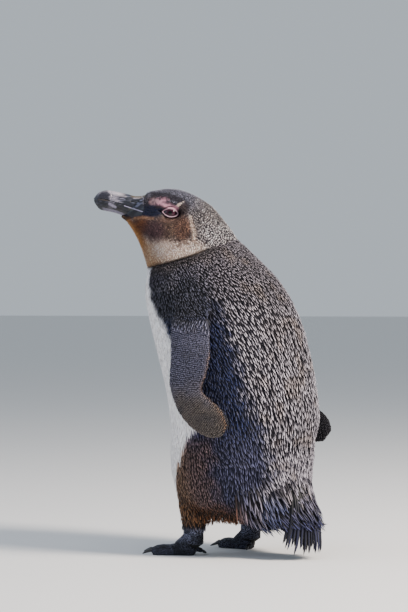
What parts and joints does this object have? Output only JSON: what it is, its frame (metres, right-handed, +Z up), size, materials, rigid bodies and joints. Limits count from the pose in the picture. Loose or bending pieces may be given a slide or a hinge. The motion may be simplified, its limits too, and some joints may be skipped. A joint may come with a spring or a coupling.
{
  "type": "juvenile african penguin",
  "caption": "Life-size standing juvenile penguin with its head turned to its left, flippers hanging at its sides, resting on both webbed feet and the tips of its tail.",
  "frame": {"origin": "on the floor, under the middle of the bounding box of the whole bird", "axes": "+Z up; the breast faces -Y and the tail +Y; the bird's own left is +X; the head is turned 35 degrees to its left"},
  "size_m": [0.2234, 0.2702, 0.4401],
  "materials": {
    "body_plumage": "short dense feathers, dark slate with pale tips, white on the belly",
    "head_plumage": "very short velvety feathers, brown-grey cheek, dark crown, buff throat",
    "flipper_plumage": "tiny scale-like feathers in rows, satin",
    "tail_feathers": "stiff pointed blue-black feathers",
    "bill_horn": "grooved dark horn with a pale band, satin",
    "eye": "wet dark brown eye",
    "foot_skin": "dark scaly skin with soft webs",
    "claw_horn": "dark worn horn"
  },
  "bodies": {
    "root": {"trunk": "body_plumage", "neck": "body_plumage", "head": "head_plumage", "leg_left": "body_plumage", "leg_right": "body_plumage", "flipper_left": "flipper_plumage", "flipper_right": "flipper_plumage", "tail": "tail_feathers", "bill_upper": "bill_horn", "bill_lower": "bill_horn", "eye_left": "eye", "eye_right": "eye", "foot_left": "foot_skin", "foot_right": "foot_skin", "claw_left_inner": "claw_horn", "claw_left_middle": "claw_horn", "claw_left_outer": "claw_horn", "claw_left_hind": "claw_horn", "claw_right_inner": "claw_horn", "claw_right_middle": "claw_horn", "claw_right_outer": "claw_horn", "claw_right_hind": "claw_horn"}
  },
  "joints": []
}
